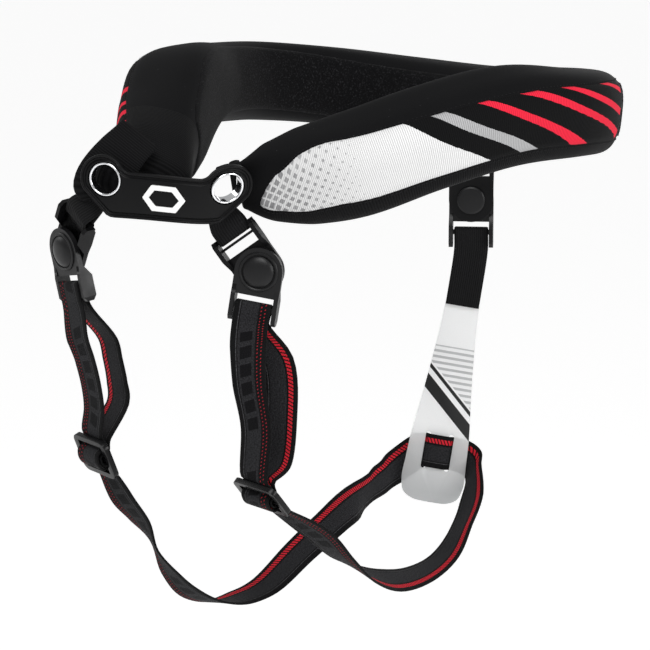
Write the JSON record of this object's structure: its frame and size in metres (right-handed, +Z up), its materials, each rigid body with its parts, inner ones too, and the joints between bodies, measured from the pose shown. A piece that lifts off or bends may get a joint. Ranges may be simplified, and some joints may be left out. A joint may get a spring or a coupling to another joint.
{
  "type": "protective neck collar with strap harness",
  "caption": "Padded horseshoe neck collar with a moulded front plate, swivel snap clips and an elastic strap harness joined at a slotted back tab.",
  "frame": {"origin": "middle of the neck opening, level with the underside of the pad at the shoulders", "axes": "+Z up as worn, the wearer's front towards -Y and the wearer's left towards +X"},
  "size_m": [0.2786, 0.3043, 0.3025],
  "materials": {
    "pad_cover": "smooth matte stretch cover",
    "ribbed_panel": "printed ribbed fabric",
    "back_fabric": "coarse grey fabric",
    "lining": "brushed pile",
    "moulded_black": "fine grained",
    "clip_grey": "fine grained",
    "badge": "satin",
    "eyelet_metal": "polished",
    "webbing": "fine ribbed weave",
    "slider_black": "gloss",
    "tab_clear": "frosted translucent",
    "elastic": "ribbed elastic weave"
  },
  "bodies": {
    "root": {"collar_pad": "pad_cover", "side_panel_left": "ribbed_panel", "back_panel": "back_fabric", "side_panel_right": "ribbed_panel", "inner_lining": "lining", "front_plate": "moulded_black", "plate_badge": "badge", "eyelet_left": "eyelet_metal", "eyelet_right": "eyelet_metal", "end_tab_left": "pad_cover", "end_tab_right": "ribbed_panel", "clip_upper_left": "moulded_black", "clip_lower_left": "clip_grey", "clip_button_left": "clip_grey", "clip_upper_right": "moulded_black", "clip_lower_right": "clip_grey", "clip_button_right": "clip_grey", "clip_upper_back": "moulded_black", "clip_lower_back": "clip_grey", "clip_button_back": "clip_grey", "webbing_left": "webbing", "webbing_right": "webbing", "webbing_back": "webbing", "slider_left": "slider_black", "slider_right": "slider_black", "back_tab": "tab_clear", "strap_loop_left": "elastic", "strap_loop_right": "elastic", "strap_run": "elastic", "back_strap": "elastic"}
  },
  "joints": []
}
